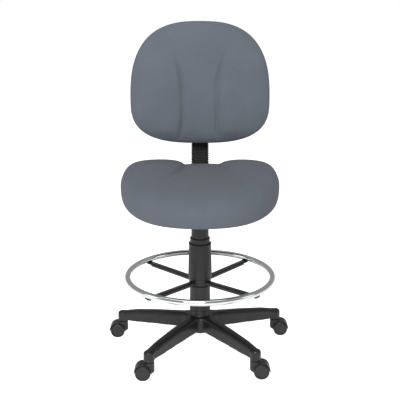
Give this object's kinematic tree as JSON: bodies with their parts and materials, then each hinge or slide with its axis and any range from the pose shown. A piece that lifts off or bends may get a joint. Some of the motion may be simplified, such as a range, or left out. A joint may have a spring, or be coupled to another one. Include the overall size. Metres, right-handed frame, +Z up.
{
  "type": "drafting chair",
  "caption": "Armless drafting chair with upholstered seat and back, adjustable footring, telescoping column covers and a star base on twin-wheel castors.",
  "frame": {"origin": "on the floor, under the axis of the column", "axes": "+Z up, +Y towards the back of the chair, +X towards the sitter's left"},
  "size_m": [0.6376, 0.597, 1.0907],
  "materials": {
    "upholstery": "woven polyester, slate grey",
    "plywood": "bare birch plywood",
    "cover_plastic": "black moulded, fine texture",
    "base_nylon": "black glass-filled nylon, satin",
    "castor_nylon": "black moulded nylon",
    "wheel_nylon": "black hard nylon",
    "chrome": "bright chrome plate",
    "black_enamel": "black powder coat, semi-gloss",
    "zinc_steel": "zinc plated",
    "ground_steel": "ground and polished",
    "bush_plastic": "natural acetal",
    "bellows_rubber": "black rubber, dull"
  },
  "bodies": {
    "base": {"base_star": "base_nylon", "hub_steel_ring": "zinc_steel", "caster_stems": "zinc_steel", "stem_grip_rings": "zinc_steel", "standing_tube": "black_enamel", "guide_bush": "bush_plastic", "thrust_bearing": "zinc_steel", "column_cover_lower": "cover_plastic"},
    "piston_rod": {"piston_rod": "ground_steel", "piston_head": "bush_plastic", "rod_clip": "zinc_steel"},
    "seat": {"pressure_tube": "ground_steel", "column_cover_upper": "cover_plastic", "mechanism_housing": "black_enamel", "back_pivot_pin": "zinc_steel", "seat_board": "plywood", "seat_cushion": "upholstery", "seat_dust_cover": "cover_plastic", "seat_bolts": "zinc_steel"},
    "middle_cover": {"column_cover_middle": "cover_plastic"},
    "footring": {"footring_tube": "chrome", "footring_spokes": "black_enamel", "footring_hub": "cover_plastic", "footring_screws": "zinc_steel", "column_cover_outer": "cover_plastic"},
    "footring_knob": {"footring_knob": "cover_plastic"},
    "release_pin": {"release_pin": "ground_steel"},
    "height_lever": {"height_lever": "black_enamel", "height_lever_paddle": "cover_plastic"},
    "back_angle_lever": {"back_angle_lever": "black_enamel", "back_angle_paddle": "cover_plastic"},
    "back_bracket": {"back_bracket": "black_enamel"},
    "back_depth_knob": {"back_depth_knob": "cover_plastic"},
    "back_carrier": {"back_bar": "black_enamel", "back_bellows": "bellows_rubber"},
    "backrest": {"back_board": "plywood", "back_cushion": "upholstery", "back_shell": "cover_plastic", "back_height_slider": "cover_plastic"},
    "back_height_knob": {"back_height_knob": "cover_plastic"},
    "caster_rear": {"caster_hood_rear": "castor_nylon", "caster_axle_rear": "zinc_steel"},
    "wheel_rear_a": {"caster_wheel_rear_a": "wheel_nylon"},
    "wheel_rear_b": {"caster_wheel_rear_b": "wheel_nylon"},
    "caster_left": {"caster_hood_left": "castor_nylon", "caster_axle_left": "zinc_steel"},
    "wheel_left_a": {"caster_wheel_left_a": "wheel_nylon"},
    "wheel_left_b": {"caster_wheel_left_b": "wheel_nylon"},
    "caster_front_left": {"caster_hood_front_left": "castor_nylon", "caster_axle_front_left": "zinc_steel"},
    "wheel_front_left_a": {"caster_wheel_front_left_a": "wheel_nylon"},
    "wheel_front_left_b": {"caster_wheel_front_left_b": "wheel_nylon"},
    "caster_front_right": {"caster_hood_front_right": "castor_nylon", "caster_axle_front_right": "zinc_steel"},
    "wheel_front_right_a": {"caster_wheel_front_right_a": "wheel_nylon"},
    "wheel_front_right_b": {"caster_wheel_front_right_b": "wheel_nylon"},
    "caster_right": {"caster_hood_right": "castor_nylon", "caster_axle_right": "zinc_steel"},
    "wheel_right_a": {"caster_wheel_right_a": "wheel_nylon"},
    "wheel_right_b": {"caster_wheel_right_b": "wheel_nylon"}
  },
  "joints": [
    {"name": "seat_swivel", "type": "hinge", "parent": "base", "child": "piston_rod", "pos_m": [0, 0, 0.055], "axis": [0, 0, 1], "continuous": true},
    {"name": "seat_height", "type": "slide", "parent": "piston_rod", "child": "seat", "axis": [0, 0, 1], "range_m": [0, 0.127]},
    {"name": "middle_cover_slide", "type": "slide", "parent": "base", "child": "middle_cover", "axis": [0, 0, 1], "range_m": [0, 0.0575]},
    {"name": "footring_height", "type": "slide", "parent": "base", "child": "footring", "axis": [0, 0, 1], "range_m": [0, 0.05]},
    {"name": "footring_clamp", "type": "hinge", "parent": "footring", "child": "footring_knob", "pos_m": [0, 0.048, 0.23805], "axis": [0, 1, 0], "continuous": true},
    {"name": "height_lever_tilt", "type": "hinge", "parent": "seat", "child": "height_lever", "pos_m": [-0.054, 0, 0.4827], "axis": [0, 1, 0], "range_deg": [0, 4], "stiffness_Nm_per_rad": 3, "springref_deg": -2.86},
    {"name": "release_pin_travel", "type": "slide", "parent": "seat", "child": "release_pin", "axis": [0, 0, -1], "range_m": [0, 0.0039]},
    {"name": "back_angle_lever_tilt", "type": "hinge", "parent": "seat", "child": "back_angle_lever", "pos_m": [0.054, 0.038, 0.47], "axis": [0, -1, 0], "range_deg": [0, 8], "stiffness_Nm_per_rad": 3, "springref_deg": -2.86},
    {"name": "back_angle", "type": "hinge", "parent": "seat", "child": "back_bracket", "pos_m": [0, 0.095, 0.478], "axis": [-1, 0, 0], "range_deg": [0, 14]},
    {"name": "back_depth_clamp", "type": "hinge", "parent": "back_bracket", "child": "back_depth_knob", "pos_m": [0, 0.16, 0.465], "axis": [0, 0, 1], "continuous": true},
    {"name": "back_depth", "type": "slide", "parent": "back_bracket", "child": "back_carrier", "axis": [0, 1, 0], "range_m": [0, 0.05]},
    {"name": "back_height", "type": "slide", "parent": "back_carrier", "child": "backrest", "axis": [0, 0.0993, 0.9951], "range_m": [0, 0.06], "deforming": ["back_bellows"]},
    {"name": "back_height_clamp", "type": "hinge", "parent": "backrest", "child": "back_height_knob", "pos_m": [0, 0.22905, 0.75235], "axis": [0, -0.9951, 0.0993], "continuous": true},
    {"name": "caster_swivel_rear", "type": "hinge", "parent": "base", "child": "caster_rear", "pos_m": [-0.00895, 0.28486, 0.06], "axis": [0, 0, 1], "continuous": true},
    {"name": "wheel_roll_rear_a", "type": "hinge", "parent": "caster_rear", "child": "wheel_rear_a", "pos_m": [-0.00404, 0.30321, 0.0245], "axis": [-0.9659, 0.2588, 0], "continuous": true},
    {"name": "wheel_roll_rear_b", "type": "hinge", "parent": "caster_rear", "child": "wheel_rear_b", "pos_m": [-0.00404, 0.30321, 0.0245], "axis": [-0.9659, 0.2588, 0], "continuous": true},
    {"name": "caster_swivel_left", "type": "hinge", "parent": "base", "child": "caster_left", "pos_m": [-0.27368, 0.07951, 0.06], "axis": [0, 0, 1], "continuous": true},
    {"name": "wheel_roll_left_a", "type": "hinge", "parent": "caster_left", "child": "wheel_left_a", "pos_m": [-0.29268, 0.07918, 0.0245], "axis": [0.0175, -0.9998, 0], "continuous": true},
    {"name": "wheel_roll_left_b", "type": "hinge", "parent": "caster_left", "child": "wheel_left_b", "pos_m": [-0.29268, 0.07918, 0.0245], "axis": [0.0175, -0.9998, 0], "continuous": true},
    {"name": "caster_swivel_front_left", "type": "hinge", "parent": "base", "child": "caster_front_left", "pos_m": [-0.16019, -0.23572, 0.06], "axis": [0, 0, 1], "continuous": true},
    {"name": "wheel_roll_front_left_a", "type": "hinge", "parent": "caster_front_left", "child": "wheel_front_left_a", "pos_m": [-0.17919, -0.23572, 0.0245], "axis": [0, -1, 0], "continuous": true},
    {"name": "wheel_roll_front_left_b", "type": "hinge", "parent": "caster_front_left", "child": "wheel_front_left_b", "pos_m": [-0.17919, -0.23572, 0.0245], "axis": [0, -1, 0], "continuous": true},
    {"name": "caster_swivel_front_right", "type": "hinge", "parent": "base", "child": "caster_front_right", "pos_m": [0.17468, -0.22519, 0.06], "axis": [0, 0, 1], "continuous": true},
    {"name": "wheel_roll_front_right_a", "type": "hinge", "parent": "caster_front_right", "child": "wheel_front_right_a", "pos_m": [0.19368, -0.22519, 0.0245], "axis": [0, 1, 0], "continuous": true},
    {"name": "wheel_roll_front_right_b", "type": "hinge", "parent": "caster_front_right", "child": "wheel_front_right_b", "pos_m": [0.19368, -0.22519, 0.0245], "axis": [0, 1, 0], "continuous": true},
    {"name": "caster_swivel_right", "type": "hinge", "parent": "base", "child": "caster_right", "pos_m": [0.26815, 0.09654, 0.06], "axis": [0, 0, 1], "continuous": true},
    {"name": "wheel_roll_right_a", "type": "hinge", "parent": "caster_right", "child": "wheel_right_a", "pos_m": [0.28715, 0.09621, 0.0245], "axis": [0.0175, 0.9998, 0], "continuous": true},
    {"name": "wheel_roll_right_b", "type": "hinge", "parent": "caster_right", "child": "wheel_right_b", "pos_m": [0.28715, 0.09621, 0.0245], "axis": [0.0175, 0.9998, 0], "continuous": true}
  ],
  "couplings": [
    {"joint": "middle_cover_slide", "follows": "seat_height", "ratio": 0.45},
    {"joint": "release_pin_travel", "follows": "height_lever_tilt", "m_per_rad": 0.054}
  ]
}
